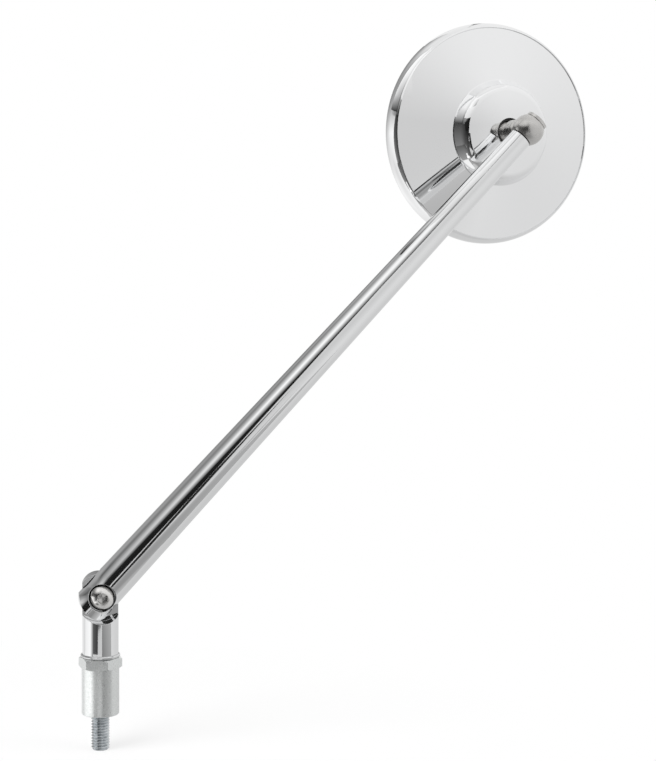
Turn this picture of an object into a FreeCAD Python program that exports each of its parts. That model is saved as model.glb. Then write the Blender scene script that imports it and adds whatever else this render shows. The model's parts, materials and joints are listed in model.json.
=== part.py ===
import FreeCAD, Part
import math
import os
import re

import Sketcher

# Scooter mirror: a round head on a tapered arm, hinged on a short stem with a threaded stud.
# Millimetres. The origin is the middle of the sleeve's lower face, and +Z runs up the stem.
# The arm leans in the XZ plane, and the head shows its back to -Y.

SIZES = {
    # Stud, sleeve and hexagon collar
    "stud_diameter": 8.0,
    "stud_reach": 16.0,
    "stud_grip_diameter": 10.0,
    "stud_cover": 1.0,
    "stud_chamfer": 0.8,
    "sleeve_diameter": 16.4,
    "sleeve_length": 20.6,
    "sleeve_edge": 0.3,
    "hex_flats": 16.7,
    "hex_height": 4.8,
    "hex_turn": 11.9,
    "hex_chamfer_angle": 30.0,
    "stem_washer_diameter": 17.3,
    "stem_washer_height": 1.4,
    "stem_washer_bevel": 0.45,
    # Stem and the half-lap joint that both halves share
    "stem_diameter": 15.8,
    "pivot_height": 52.4,
    "ear_radius": 9.7,
    "lap_clearance": 1.7,
    "cut_margin": 0.6,
    "running_fit": 0.05,
    # Pivot screw and its washer
    "pivot_screw_diameter": 6.0,
    "pivot_screw_end": 7.5,
    "pivot_head_diameter": 11.0,
    "pivot_head_height": 3.3,
    "pivot_head_edge": 0.5,
    "pivot_socket_flats": 4.0,
    "pivot_socket_depth": 2.0,
    "spot_face_diameter": 12.2,
    "spot_face_level": 4.2,
    "pivot_washer_diameter": 10.4,
    "pivot_washer_height": 0.8,
    # Arm
    "arm_angle": 46.6,
    "arm_length": 279.65,
    "arm_root_diameter": 16.1,
    "arm_tip_diameter": 10.2,
    "arm_tip_edge": 0.5,
    # Elbow and its swivel screw
    "elbow_height": 9.4,
    "elbow_seat_diameter": 10.8,
    "elbow_diameter": 14.3,
    "neck_diameter": 10.5,
    "neck_waist_length": 7.2,
    "neck_flare_length": 1.8,
    "neck_edge": 0.6,
    "neck_gap": 3.2,
    "elbow_blend": 2.0,
    "swivel_screw_diameter": 5.0,
    "swivel_screw_grip": 14.0,
    "swivel_head_diameter": 10.4,
    "swivel_head_height": 2.7,
    "swivel_head_edge": 1.7,
    "swivel_socket_flats": 3.0,
    "swivel_socket_depth": 1.2,
    # Ball joint
    "ball_diameter": 14.8,
    "ball_neck_diameter": 6.0,
    "ball_clearance": 0.3,
    "ball_height": 9.6,
    "liner_wall": 1.2,
    "liner_opening_angle": 42.0,
    "liner_foot_angle": 126.0,
    "cup_wall": 1.5,
    "cup_drop": 0.8,
    "cup_base": 0.8,
    "cup_hole_diameter": 9.0,
    "spring_wire": 0.9,
    "spring_turns": 2.0,
    "socket_diameter": 34.0,
    "socket_mouth_diameter": 13.8,
    "plate_level": 2.5,
    "plate_wall": 1.2,
    "plate_hole_diameter": 6.0,
    "plate_screw_circle": 28.0,
    "plate_screw_diameter": 2.5,
    "plate_screw_grip": 7.0,
    "plate_screw_head_diameter": 4.6,
    "plate_screw_head_height": 1.4,
    # Head: back shell, rim and glass, with heights from the seam between shell and rim
    "head_turn": 7.5,
    "head_reach": 35.0,
    "head_diameter": 104.0,
    "seam_diameter": 99.2,
    "dome_foot_diameter": 48.8,
    "dome_foot_height": 7.8,
    "crown_diameter": 43.2,
    "crown_edge_height": 14.0,
    "crown_radius": 66.0,
    "crown_hole_diameter": 12.8,
    "shoulder_round": 5.5,
    "foot_round": 0.8,
    "shell_wall": 1.0,
    "skirt_depth": 6.5,
    "rim_wall": 0.9,
    "skirt_round_depth": 3.4,
    "rim_shoulder_diameter": 101.2,
    "rim_shoulder_depth": 0.6,
    "rim_side_depth": 6.2,
    "rim_edge_round": 3.0,
    "rim_depth": 8.4,
    "rim_corner": 1.0,
    "rim_back_edge": 0.5,
    "rim_lip": 3.8,
    "glass_clearance": 0.3,
    "glass_wall": 2.0,
    "glass_radius": 1200.0,
    "gasket_width": 4.6,
}

doc = FreeCAD.newDocument("scooter_mirror")
sheet = doc.addObject("Spreadsheet::Sheet", "Sizes")
for row, (alias, number) in enumerate(SIZES.items(), start=1):
    sheet.set(f"A{row}", alias)
    sheet.set(f"B{row}", str(number))
    sheet.setAlias(f"B{row}", alias)
doc.recompute()


# Lengths that follow from the sizes, as text for the expressions

STUD_R = "(stud_diameter / 2)"
GRIP_R = "(stud_grip_diameter / 2)"
HEX_BASE = "sleeve_length"
HEX_TOP = "(sleeve_length + hex_height)"
STEM_BASE = f"({HEX_TOP} + stem_washer_height)"
STEM_TOP = "(pivot_height + ear_radius)"
STEM_R = "(stem_diameter / 2)"
SHOULDER = "(ear_radius + lap_clearance)"
STUD_TOP = f"(pivot_height - {SHOULDER} - stud_cover)"
LAP_SIDE = f"({STEM_R} + cut_margin)"
EAR_CHORD = f"sqrt(ear_radius^2 - {LAP_SIDE}^2)"
SHOULDER_CHORD = f"sqrt({SHOULDER}^2 - {LAP_SIDE}^2)"
PIVOT_SEAT = "(spot_face_level + pivot_washer_height)"

ARM_ROOT_R = "(arm_root_diameter / 2)"
ARM_TIP_R = "(arm_tip_diameter / 2)"
ARM_END_R = f"({ARM_ROOT_R} + ({ARM_ROOT_R} - {ARM_TIP_R}) * ear_radius / arm_length)"

ELBOW_HALF = "(elbow_height / 2)"
ELBOW_SEAT_R = "(elbow_seat_diameter / 2)"
ELBOW_BULGE = "((elbow_diameter - elbow_seat_diameter) / 2)"
ELBOW_ARC = f"(({ELBOW_HALF}^2 + {ELBOW_BULGE}^2) / (2 * {ELBOW_BULGE}))"
ELBOW_REACH = f"(arm_length + {ELBOW_HALF})"
ELBOW_X = f"({ELBOW_REACH} * cos(arm_angle))"
ELBOW_Z = f"(pivot_height + {ELBOW_REACH} * sin(arm_angle))"
ELBOW_SWING = "atan(tan(head_turn) * sin(arm_angle))"
NECK_DROP = "asin(sin(head_turn) * cos(arm_angle))"

CROWN_R = "(crown_diameter / 2)"
CROWN_CENTRE = f"(crown_edge_height - sqrt(crown_radius^2 - {CROWN_R}^2))"
CROWN_HOLE_R = "(crown_hole_diameter / 2)"
CROWN_TOP = f"({CROWN_CENTRE} + sqrt(crown_radius^2 - {CROWN_HOLE_R}^2))"
CROWN_INSIDE = "(crown_radius - shell_wall)"
NECK_END = f"(head_reach - {CROWN_TOP} - neck_gap)"
NECK_BORE = "(elbow_diameter / 2 + running_fit)"
WAIST_R = f"({ELBOW_HALF} - elbow_diameter / 2 * sin({NECK_DROP}))"
NECK_FLARE = f"(neck_diameter / 2 - {WAIST_R})"
NECK_FLARE_ARC = f"((neck_flare_length^2 + {NECK_FLARE}^2) / (2 * {NECK_FLARE}))"

BALL_R = "(ball_diameter / 2)"
BALL_NECK_R = "(ball_neck_diameter / 2)"
LINER_IN = f"({BALL_R} + ball_clearance)"
LINER_OUT = f"({LINER_IN} + liner_wall)"
SOCKET_SEAT = f"({LINER_OUT} + ball_clearance)"
CUP_R = f"({SOCKET_SEAT} + cup_wall)"
CUP_TOP = "(ball_height - cup_drop)"
CUP_HOLE_R = "(cup_hole_diameter / 2)"
CUP_BORE_R = f"({CUP_R} + ball_clearance)"
SPRING_R = f"(({CUP_R} + {CUP_HOLE_R}) / 2)"
SPRING_RISE = "(cup_base + plate_level - spring_wire - ball_clearance)"
SOCKET_R = "(socket_diameter / 2)"
MOUTH_R = "(socket_mouth_diameter / 2)"
SCREW_CIRCLE_R = "(plate_screw_circle / 2)"

HEAD_R = "(head_diameter / 2)"
SEAM_R = "(seam_diameter / 2)"
FOOT_R = "(dome_foot_diameter / 2)"
CONE_SLOPE = f"(dome_foot_height / ({SEAM_R} - {FOOT_R}))"
SKIRT_R = f"({HEAD_R} - rim_wall)"
SKIRT_IN = f"({SKIRT_R} - shell_wall)"
GLASS_R = f"({SKIRT_IN} - glass_clearance)"
GASKET_IN = f"({GLASS_R} - gasket_width)"
LIP_IN = f"({HEAD_R} - rim_lip)"
RIM_INSIDE = "(rim_depth - rim_wall)"
GLASS_LIP_FALL = f"(sqrt(glass_radius^2 - {LIP_IN}^2) - sqrt(glass_radius^2 - {GLASS_R}^2))"
GLASS_EDGE = f"({RIM_INSIDE} - {GLASS_LIP_FALL})"
GLASS_BACK = f"({GLASS_EDGE} - glass_wall)"


def arc_through(run, rise):
    """Radius of the arc that starts square to 'run' and covers 'run' sideways and 'rise' forwards."""
    return f"(({run})^2 + ({rise})^2) / (2 * ({run}))"


def cone_inside(radius):
    """Height of the back cone's inner face at a radius."""
    return f"(({SEAM_R} - {radius}) * {CONE_SLOPE} - shell_wall * sqrt(1 + {CONE_SLOPE}^2))"


def ball_seat(radius):
    """Height above the ball's middle at which the socket's sphere has a radius."""
    return f"sqrt({SOCKET_SEAT}^2 - ({radius})^2)"


# Frames of the moving bodies

LEAN = "rotation(vector(0; 1; 0); 90 - arm_angle)"
HEAD_X = f"({ELBOW_X} - head_reach * sin(head_turn))"
BALL_X = f"({ELBOW_X} - (head_reach - ball_height) * sin(head_turn))"
HEAD_ROTATION = "rotation(head_turn; 0; 90)"
MOUNT = "placement(vector(0; 0; 0); rotation(0; 0; 0))"
PIVOT = "placement(vector(0; 0; pivot_height); rotation(0; 0; 90))"
ARM = f"placement(vector(0; 0; pivot_height); {LEAN})"
TIP = f"placement(vector(arm_length * cos(arm_angle); 0; pivot_height + arm_length * sin(arm_angle)); {LEAN})"
ELBOW = f"placement(vector({ELBOW_X}; 0; {ELBOW_Z}); {LEAN} * rotation({ELBOW_SWING}; 0; 0))"
HEAD = f"placement(vector({HEAD_X}; head_reach * cos(head_turn); {ELBOW_Z}); {HEAD_ROTATION})"
BALL = f"placement(vector({BALL_X}; (head_reach - ball_height) * cos(head_turn); {ELBOW_Z}); {HEAD_ROTATION})"


# Helpers for sketches and features

def expression(text):
    """Text with every size's name turned into a reference to the sheet."""
    return re.sub(r"[a-z_]+", lambda word: f"Sizes.{word[0]}" if word[0] in SIZES else word[0], text)


def value(text):
    return float(sheet.evalExpression(expression(text)))


def bind(item, name, text):
    item.setExpression(name, expression(text))


def new_body(label, frame):
    body = doc.addObject("PartDesign::Body", label)
    body.Label = label
    bind(body, "Placement", frame)
    return body


def new_sketch(body, plane, offset="0", turn="0"):
    sketch = body.newObject("Sketcher::SketchObject", f"{body.Name}_sketch")
    support = next(item for item in body.Origin.OriginFeatures if item.Role == plane)
    sketch.AttachmentSupport = [(support, "")]
    sketch.MapMode = "FlatFace"
    bind(sketch, "AttachmentOffset", f"placement(vector(0; 0; {offset}); rotation({turn}; 0; 0))")
    return sketch


def fix_point(sketch, geometry, point, x, y):
    """Hold a point of a sketch at (x, y), each a text that may name sizes."""
    for kind, axis, text in (("DistanceX", -2, x), ("DistanceY", -1, y)):
        if text == "0":
            sketch.addConstraint(Sketcher.Constraint("PointOnObject", geometry, point, axis))
            continue
        number = sketch.addConstraint(Sketcher.Constraint(kind, -1, 1, geometry, point, value(text)))
        bind(sketch, f"Constraints[{number}]", text)


def fix_radius(sketch, geometry, radius):
    number = sketch.addConstraint(Sketcher.Constraint("Radius", geometry, value(radius)))
    bind(sketch, f"Constraints[{number}]", radius)


def arc_between(start, end, radius, left):
    """The short arc from start to end that turns left or right, as an anticlockwise arc."""
    chord = end - start
    reach = math.sqrt(radius ** 2 - (chord.Length / 2) ** 2)
    side = FreeCAD.Vector(-chord.y, chord.x, 0).normalize()
    centre = (start + end) * 0.5 + side * (reach if left else -reach)
    first, last = (start, end) if left else (end, start)
    angles = [math.atan2(point.y - centre.y, point.x - centre.x) for point in (first, last)]
    circle = Part.Circle(centre, FreeCAD.Vector(0, 0, 1), radius)
    return Part.ArcOfCircle(circle, angles[0], angles[1])


def draw_outline(sketch, corners):
    """Draw a closed outline. A corner (x, y, turn, radius) starts an arc that turns left or right."""
    spots = [FreeCAD.Vector(value(corner[0]), value(corner[1]), 0) for corner in corners]
    ends = []
    for index, corner in enumerate(corners):
        start = spots[index]
        end = spots[(index + 1) % len(spots)]
        if len(corner) == 2:
            ends.append((sketch.addGeometry(Part.LineSegment(start, end)), 1, 2))
            continue
        left = corner[2] == "left"
        arc = arc_between(start, end, value(corner[3]), left)
        ends.append((sketch.addGeometry(arc), 1, 2) if left else (sketch.addGeometry(arc), 2, 1))
    for index, (geometry, first, last) in enumerate(ends):
        after, after_first, after_last = ends[(index + 1) % len(ends)]
        sketch.addConstraint(Sketcher.Constraint("Coincident", geometry, last, after, after_first))
    for corner, (geometry, first, last) in zip(corners, ends):
        fix_point(sketch, geometry, first, corner[0], corner[1])
        if len(corner) > 2:
            fix_radius(sketch, geometry, corner[3])


def draw_circle(sketch, x, y, radius):
    centre = FreeCAD.Vector(value(x), value(y), 0)
    circle = sketch.addGeometry(Part.Circle(centre, FreeCAD.Vector(0, 0, 1), value(radius)))
    fix_point(sketch, circle, 3, x, y)
    fix_radius(sketch, circle, radius)


def draw_hexagon(sketch, flats):
    corner_radius = f"({flats}) / sqrt(3)"
    draw_outline(sketch, [(f"{corner_radius} * cos({angle})", f"{corner_radius} * sin({angle})")
                          for angle in range(30, 390, 60)])


def add_feature(body, kind, sketch, **settings):
    feature = body.newObject(f"PartDesign::{kind}", f"{body.Name}_{kind.lower()}")
    feature.Profile = sketch
    for name, setting in settings.items():
        setattr(feature, name, setting)
    return feature


def pad(body, sketch, length):
    feature = add_feature(body, "Pad", sketch)
    bind(feature, "Length", length)
    doc.recompute()


def pocket(body, sketch, depth, along_normal=False):
    """Cut against the sketch's normal, or along it, and make sure that something was cut."""
    doc.recompute()
    before = body.Shape.Volume
    feature = add_feature(body, "Pocket", sketch, Reversed=along_normal)
    bind(feature, "Length", depth)
    doc.recompute()
    if not body.Shape.Volume < before:
        raise RuntimeError(f"{feature.Name} cuts nothing")


def revolve(body, sketch, axis="V_Axis"):
    add_feature(body, "Revolution", sketch, ReferenceAxis=(sketch, [axis]), Angle=360.0)
    doc.recompute()


def groove(body, sketch):
    before = body.Shape.Volume
    feature = add_feature(body, "Groove", sketch, ReferenceAxis=(sketch, ["V_Axis"]), Angle=360.0)
    doc.recompute()
    if not body.Shape.Volume < before:
        raise RuntimeError(f"{feature.Name} cuts nothing")


def turned(label, frame, corners):
    """A piece turned about its frame's Z axis from one outline of (radius, height) corners."""
    body = new_body(label, frame)
    sketch = new_sketch(body, "XZ_Plane")
    draw_outline(sketch, corners)
    revolve(body, sketch)
    return body


def socket_screw(label, frame, seat, end, size):
    """A cap screw along its frame's Z axis, with its head on 'seat' and its shank down to 'end'."""
    shank = f"({size}_screw_diameter / 2)"
    head = f"({size}_head_diameter / 2)"
    top = f"({seat} + {size}_head_height)"
    crown = f"({size}_socket_flats * 0.65)"
    dome_rise = f"({size}_head_height - {size}_head_edge)"
    dome_drop = f"(({head}^2 - {crown}^2 - {dome_rise}^2) / (2 * {dome_rise}))"
    body = turned(label, frame, [
        ("0", end),
        (shank, end),
        (shank, seat),
        (head, seat),
        (head, f"{seat} + {size}_head_edge", "left", f"sqrt({head}^2 + {dome_drop}^2)"),
        (crown, top),
        ("0", top)])
    socket = new_sketch(body, "XY_Plane", top)
    draw_hexagon(socket, f"{size}_socket_flats")
    pocket(body, socket, f"{size}_socket_depth")
    return body


# Mount: stud, sleeve, washer and stem

def mounting_stud():
    return turned("mounting_stud", MOUNT, [
        ("0", "-stud_reach"),
        (f"{STUD_R} - stud_chamfer", "-stud_reach"),
        (STUD_R, "stud_chamfer - stud_reach"),
        (STUD_R, "0"),
        (GRIP_R, "0"),
        (GRIP_R, STUD_TOP),
        ("0", STUD_TOP)])


def adapter_sleeve():
    sleeve_radius = "(sleeve_diameter / 2)"
    body = turned("adapter_sleeve", MOUNT, [
        (GRIP_R, "0"),
        (f"{sleeve_radius} - sleeve_edge", "0"),
        (sleeve_radius, "sleeve_edge"),
        (sleeve_radius, HEX_BASE),
        (GRIP_R, HEX_BASE)])
    collar = new_sketch(body, "XY_Plane", HEX_BASE, "hex_turn")
    draw_hexagon(collar, "hex_flats")
    draw_circle(collar, "0", "0", GRIP_R)
    pad(body, collar, "hex_height")
    inner = "(hex_flats / 2)"
    outer = "(hex_flats / sqrt(3) + cut_margin)"
    fall = f"(({outer} - {inner}) * tan(hex_chamfer_angle))"
    for level, down in ((HEX_TOP, f"{HEX_TOP} - {fall}"), (HEX_BASE, f"{HEX_BASE} + {fall}")):
        bevel = new_sketch(body, "XZ_Plane")
        draw_outline(bevel, [(inner, level), (outer, level), (outer, down)])
        groove(body, bevel)
    return body


def stem_washer():
    radius = "(stem_washer_diameter / 2)"
    return turned("stem_washer", MOUNT, [
        (GRIP_R, HEX_TOP),
        (f"{radius} - stem_washer_bevel", HEX_TOP),
        (radius, f"{HEX_TOP} + stem_washer_bevel"),
        (radius, f"{STEM_BASE} - stem_washer_bevel"),
        (f"{radius} - stem_washer_bevel", STEM_BASE),
        (GRIP_R, STEM_BASE)])


def stem_knuckle():
    body = new_body("stem_knuckle", MOUNT)
    round_bar = new_sketch(body, "XY_Plane", STEM_BASE)
    draw_circle(round_bar, "0", "0", STEM_R)
    pad(body, round_bar, f"{STEM_TOP} - {STEM_BASE}")
    above = f"({STEM_TOP} + cut_margin)"
    front_lap = new_sketch(body, "XZ_Plane")
    draw_outline(front_lap, [
        (f"-{LAP_SIDE}", f"pivot_height - {SHOULDER_CHORD}", "left", SHOULDER),
        (LAP_SIDE, f"pivot_height - {SHOULDER_CHORD}"),
        (LAP_SIDE, above),
        (f"-{LAP_SIDE}", above)])
    pocket(body, front_lap, LAP_SIDE, along_normal=True)
    ear_end = new_sketch(body, "XZ_Plane")
    draw_outline(ear_end, [
        (f"-{LAP_SIDE}", f"pivot_height + {EAR_CHORD}", "right", "ear_radius"),
        (LAP_SIDE, f"pivot_height + {EAR_CHORD}"),
        (LAP_SIDE, above),
        (f"-{LAP_SIDE}", above)])
    pocket(body, ear_end, LAP_SIDE)
    pivot_thread = new_sketch(body, "XZ_Plane")
    draw_circle(pivot_thread, "0", "pivot_height", "pivot_screw_diameter / 2")
    pocket(body, pivot_thread, LAP_SIDE)
    stud_thread = new_sketch(body, "XY_Plane", STEM_BASE)
    draw_circle(stud_thread, "0", "0", GRIP_R)
    pocket(body, stud_thread, f"{STUD_TOP} - {STEM_BASE}", along_normal=True)
    return body


def pivot_screw():
    return socket_screw("pivot_screw", PIVOT, PIVOT_SEAT, "-pivot_screw_end", "pivot")


def pivot_washer():
    bore = "(pivot_screw_diameter / 2 + running_fit)"
    return turned("pivot_washer", PIVOT, [
        (bore, "spot_face_level"),
        ("pivot_washer_diameter / 2", "spot_face_level"),
        ("pivot_washer_diameter / 2", PIVOT_SEAT),
        (bore, PIVOT_SEAT)])


# Arm and its swivel screw

def arm():
    body = turned("arm", ARM, [
        ("0", "-ear_radius"),
        (ARM_END_R, "-ear_radius"),
        (ARM_TIP_R, "arm_length - arm_tip_edge"),
        (f"{ARM_TIP_R} - arm_tip_edge", "arm_length"),
        ("0", "arm_length")])
    below = "(-ear_radius - cut_margin)"
    back_lap = new_sketch(body, "XZ_Plane")
    draw_outline(back_lap, [
        (LAP_SIDE, SHOULDER_CHORD, "left", SHOULDER),
        (f"-{LAP_SIDE}", SHOULDER_CHORD),
        (f"-{LAP_SIDE}", below),
        (LAP_SIDE, below)])
    pocket(body, back_lap, LAP_SIDE)
    tongue_end = new_sketch(body, "XZ_Plane")
    draw_outline(tongue_end, [
        (f"-{LAP_SIDE}", f"-{EAR_CHORD}", "left", "ear_radius"),
        (LAP_SIDE, f"-{EAR_CHORD}"),
        (LAP_SIDE, below),
        (f"-{LAP_SIDE}", below)])
    pocket(body, tongue_end, LAP_SIDE, along_normal=True)
    pivot_bore = new_sketch(body, "XZ_Plane")
    draw_circle(pivot_bore, "0", "0", "pivot_screw_diameter / 2 + running_fit")
    pocket(body, pivot_bore, LAP_SIDE, along_normal=True)
    spot_face = new_sketch(body, "XZ_Plane", "spot_face_level")
    draw_circle(spot_face, "0", "0", "spot_face_diameter / 2")
    pocket(body, spot_face, LAP_SIDE, along_normal=True)
    swivel_thread = new_sketch(body, "XY_Plane", "arm_length")
    draw_circle(swivel_thread, "0", "0", "swivel_screw_diameter / 2")
    pocket(body, swivel_thread, "swivel_screw_grip")
    return body


def swivel_screw():
    return socket_screw("swivel_screw", TIP, "elbow_height", "-swivel_screw_grip", "swivel")


# Elbow: a ball-shaped barrel on the arm's end and a neck that runs to the head

def elbow_knuckle():
    body = turned("elbow_knuckle", ELBOW, [
        ("0", f"-{ELBOW_HALF}"),
        (ELBOW_SEAT_R, f"-{ELBOW_HALF}", "left", ELBOW_ARC),
        (ELBOW_SEAT_R, ELBOW_HALF),
        ("0", ELBOW_HALF)])
    neck_radius = "(neck_diameter / 2)"
    neck = new_sketch(body, "YZ_Plane", turn=f"-{NECK_DROP}")
    draw_outline(neck, [
        ("0", "0"),
        (NECK_BORE, "0"),
        (NECK_BORE, BALL_NECK_R),
        (NECK_END, BALL_NECK_R),
        (NECK_END, f"{neck_radius} - neck_edge"),
        (f"{NECK_END} - neck_edge", neck_radius),
        ("neck_waist_length + neck_flare_length", neck_radius, "right", NECK_FLARE_ARC),
        ("neck_waist_length", WAIST_R),
        ("0", WAIST_R)])
    revolve(body, neck, "H_Axis")
    round_edges(body, crossing_edges(body.Tip), "elbow_blend")
    swivel_bore = new_sketch(body, "XY_Plane", ELBOW_HALF)
    draw_circle(swivel_bore, "0", "0", "swivel_screw_diameter / 2 + running_fit")
    pocket(body, swivel_bore, "elbow_height")
    return body


def crossing_edges(feature):
    """Names of the edges where two round forms cross, which are neither lines nor circles."""
    return [f"Edge{number}" for number, edge in enumerate(feature.Shape.Edges, start=1)
            if not isinstance(edge.Curve, (Part.Line, Part.Circle))]


def ball_stud():
    top = f"(head_reach - ball_height - {NECK_BORE})"
    return turned("ball_stud", BALL, [
        ("0", f"-{BALL_R}", "left", BALL_R),
        (BALL_NECK_R, f"sqrt({BALL_R}^2 - {BALL_NECK_R}^2)"),
        (BALL_NECK_R, top),
        ("0", top)])


# Ball joint inside the head

def ball_liner():
    first = "liner_opening_angle"
    last = "liner_foot_angle"
    return turned("ball_liner", BALL, [
        (f"{LINER_OUT} * sin({last})", f"{LINER_OUT} * cos({last})", "left", LINER_OUT),
        (f"{LINER_OUT} * sin({first})", f"{LINER_OUT} * cos({first})"),
        (f"{LINER_IN} * sin({first})", f"{LINER_IN} * cos({first})", "right", LINER_IN),
        (f"{LINER_IN} * sin({last})", f"{LINER_IN} * cos({last})")])


def pressure_cup():
    return turned("pressure_cup", HEAD, [
        (CUP_HOLE_R, "cup_base"),
        (CUP_R, "cup_base"),
        (CUP_R, CUP_TOP),
        (ball_seat("cup_drop"), CUP_TOP, "right", SOCKET_SEAT),
        (CUP_HOLE_R, f"ball_height - {ball_seat(CUP_HOLE_R)}")])


def pressure_spring():
    body = new_body("pressure_spring", HEAD)
    wire = new_sketch(body, "XZ_Plane")
    draw_circle(wire, SPRING_R, "ball_clearance - plate_level + spring_wire / 2", "spring_wire / 2")
    coil = add_feature(body, "AdditiveHelix", wire, ReferenceAxis=(wire, ["V_Axis"]))
    bind(coil, "Height", SPRING_RISE)
    bind(coil, "Pitch", f"{SPRING_RISE} / spring_turns")
    doc.recompute()
    return body


def screw_circle(body, offset, depth, along_normal=False):
    """Three holes for the plate's screws."""
    holes = new_sketch(body, "XY_Plane", offset)
    for angle in range(0, 360, 120):
        draw_circle(holes, f"{SCREW_CIRCLE_R} * cos({angle})", f"{SCREW_CIRCLE_R} * sin({angle})",
                    "plate_screw_diameter / 2")
    pocket(body, holes, depth, along_normal)


def socket_ring():
    body = turned("socket_ring", HEAD, [
        (CUP_BORE_R, "-plate_level"),
        (SOCKET_R, "-plate_level"),
        (SOCKET_R, f"{CROWN_CENTRE} + sqrt({CROWN_INSIDE}^2 - {SOCKET_R}^2)", "left", CROWN_INSIDE),
        (MOUTH_R, f"{CROWN_CENTRE} + sqrt({CROWN_INSIDE}^2 - {MOUTH_R}^2)"),
        (MOUTH_R, f"ball_height + {ball_seat(MOUTH_R)}", "right", SOCKET_SEAT),
        (SOCKET_SEAT, "ball_height"),
        (CUP_BORE_R, "ball_height")])
    screw_circle(body, "-plate_level", "plate_screw_grip", along_normal=True)
    return body


def retaining_plate():
    body = turned("retaining_plate", HEAD, [
        ("plate_hole_diameter / 2", "-plate_level - plate_wall"),
        (SOCKET_R, "-plate_level - plate_wall"),
        (SOCKET_R, "-plate_level"),
        ("plate_hole_diameter / 2", "-plate_level")])
    screw_circle(body, "-plate_level", "plate_wall")
    return body


def plate_screw(number):
    angle = 120 * (number - 1)
    along = f"{SCREW_CIRCLE_R} * cos({angle})"
    across = f"{SCREW_CIRCLE_R} * sin({angle})"
    seat = "(-plate_level - plate_wall)"
    frame = f"{HEAD} * placement(vector({along}; {across}; {seat}); rotation(0; 0; 0))"
    return turned(f"plate_screw_{number}", frame, [
        ("0", "-plate_screw_head_height"),
        ("plate_screw_head_diameter / 2", "-plate_screw_head_height"),
        ("plate_screw_head_diameter / 2", "0"),
        ("plate_screw_diameter / 2", "0"),
        ("plate_screw_diameter / 2", "plate_wall + plate_screw_grip"),
        ("0", "plate_wall + plate_screw_grip")])


# Head: shell, glass and rim

def back_shell():
    """Spun shell: a skirt inside the rim, a shallow cone, and a dome with the ball joint's hole."""
    wall = "shell_wall"
    foot_in = f"({FOOT_R} - {wall})"
    edge_in = f"({CROWN_R} - {wall})"
    inside = f"{CROWN_CENTRE} + sqrt({CROWN_INSIDE}^2 - "
    body = turned("back_shell", HEAD, [
        (SKIRT_IN, "-skirt_depth"),
        (SKIRT_R, "-skirt_depth"),
        (SKIRT_R, "-skirt_round_depth", "left", arc_through(f"{SKIRT_R} - {SEAM_R}", "skirt_round_depth")),
        (SEAM_R, "0"),
        (FOOT_R, "dome_foot_height"),
        (CROWN_R, "crown_edge_height", "left", "crown_radius"),
        (CROWN_HOLE_R, CROWN_TOP),
        (CROWN_HOLE_R, f"{inside}{CROWN_HOLE_R}^2)", "right", CROWN_INSIDE),
        (edge_in, f"{inside}{edge_in}^2)"),
        (foot_in, cone_inside(foot_in)),
        (GLASS_R, cone_inside(GLASS_R)),
        (SKIRT_IN, "-skirt_round_depth")])
    round_ring(body, CROWN_R, "crown_edge_height", "shoulder_round")
    round_ring(body, FOOT_R, "dome_foot_height", "foot_round")
    return body


def round_ring(body, radius, height, rounding):
    """Round the edges that ring the body's own Z axis at a radius and a height."""
    round_edges(body, ring_edges(body.Tip, radius, height), rounding)


def round_edges(body, names, rounding):
    base = body.Tip
    feature = body.newObject("PartDesign::Fillet", f"{body.Name}_fillet")
    feature.Base = (base, names)
    bind(feature, "Radius", rounding)
    doc.recompute()


def ring_edges(feature, radius, height):
    """Names of the round edges about the body's own Z axis with a radius, at a height."""
    names = []
    for number, edge in enumerate(feature.Shape.Edges, start=1):
        if not isinstance(edge.Curve, Part.Circle):
            continue
        middle = FreeCAD.Vector(0, 0, value(height))
        if abs(edge.Curve.Radius - value(radius)) < 1e-3 and (edge.Curve.Center - middle).Length < 1e-3:
            names.append(f"Edge{number}")
    return names


def glass_gasket():
    return turned("glass_gasket", HEAD, [
        (GASKET_IN, f"-{GLASS_BACK}"),
        (GLASS_R, f"-{GLASS_BACK}"),
        (GLASS_R, cone_inside(GLASS_R)),
        (GASKET_IN, cone_inside(GASKET_IN))])


def mirror_glass():
    """Convex glass, bulging away from the shell."""
    back_radius = "(glass_radius - glass_wall)"
    front_rise = f"(glass_radius - sqrt(glass_radius^2 - {GLASS_R}^2))"
    back_rise = f"({back_radius} - sqrt({back_radius}^2 - {GLASS_R}^2))"
    return turned("mirror_glass", HEAD, [
        ("0", f"-{GLASS_EDGE} - {front_rise}", "left", "glass_radius"),
        (GLASS_R, f"-{GLASS_EDGE}"),
        (GLASS_R, f"-{GLASS_BACK}", "right", back_radius),
        ("0", f"-{GLASS_BACK} - {back_rise}")])


def rim_bezel():
    """Rolled ring that grips the glass in front and the shell's shoulder behind."""
    shoulder = "(rim_shoulder_diameter / 2)"
    inner_arc = arc_through(f"{SKIRT_R} - {SEAM_R}", "skirt_round_depth")
    side_arc = arc_through(f"{HEAD_R} - {shoulder}", "rim_side_depth - rim_shoulder_depth")
    return turned("rim_bezel", HEAD, [
        (LIP_IN, "-rim_depth"),
        (f"{HEAD_R} - rim_corner", "-rim_depth", "left", "rim_corner"),
        (HEAD_R, "rim_corner - rim_depth"),
        (HEAD_R, "-rim_side_depth", "left", side_arc),
        (shoulder, "-rim_shoulder_depth", "left", "rim_edge_round"),
        (SEAM_R, "rim_back_edge"),
        (SEAM_R, "0", "right", inner_arc),
        (SKIRT_R, "-skirt_round_depth"),
        (SKIRT_R, f"-{RIM_INSIDE}"),
        (LIP_IN, f"-{RIM_INSIDE}")])


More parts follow.
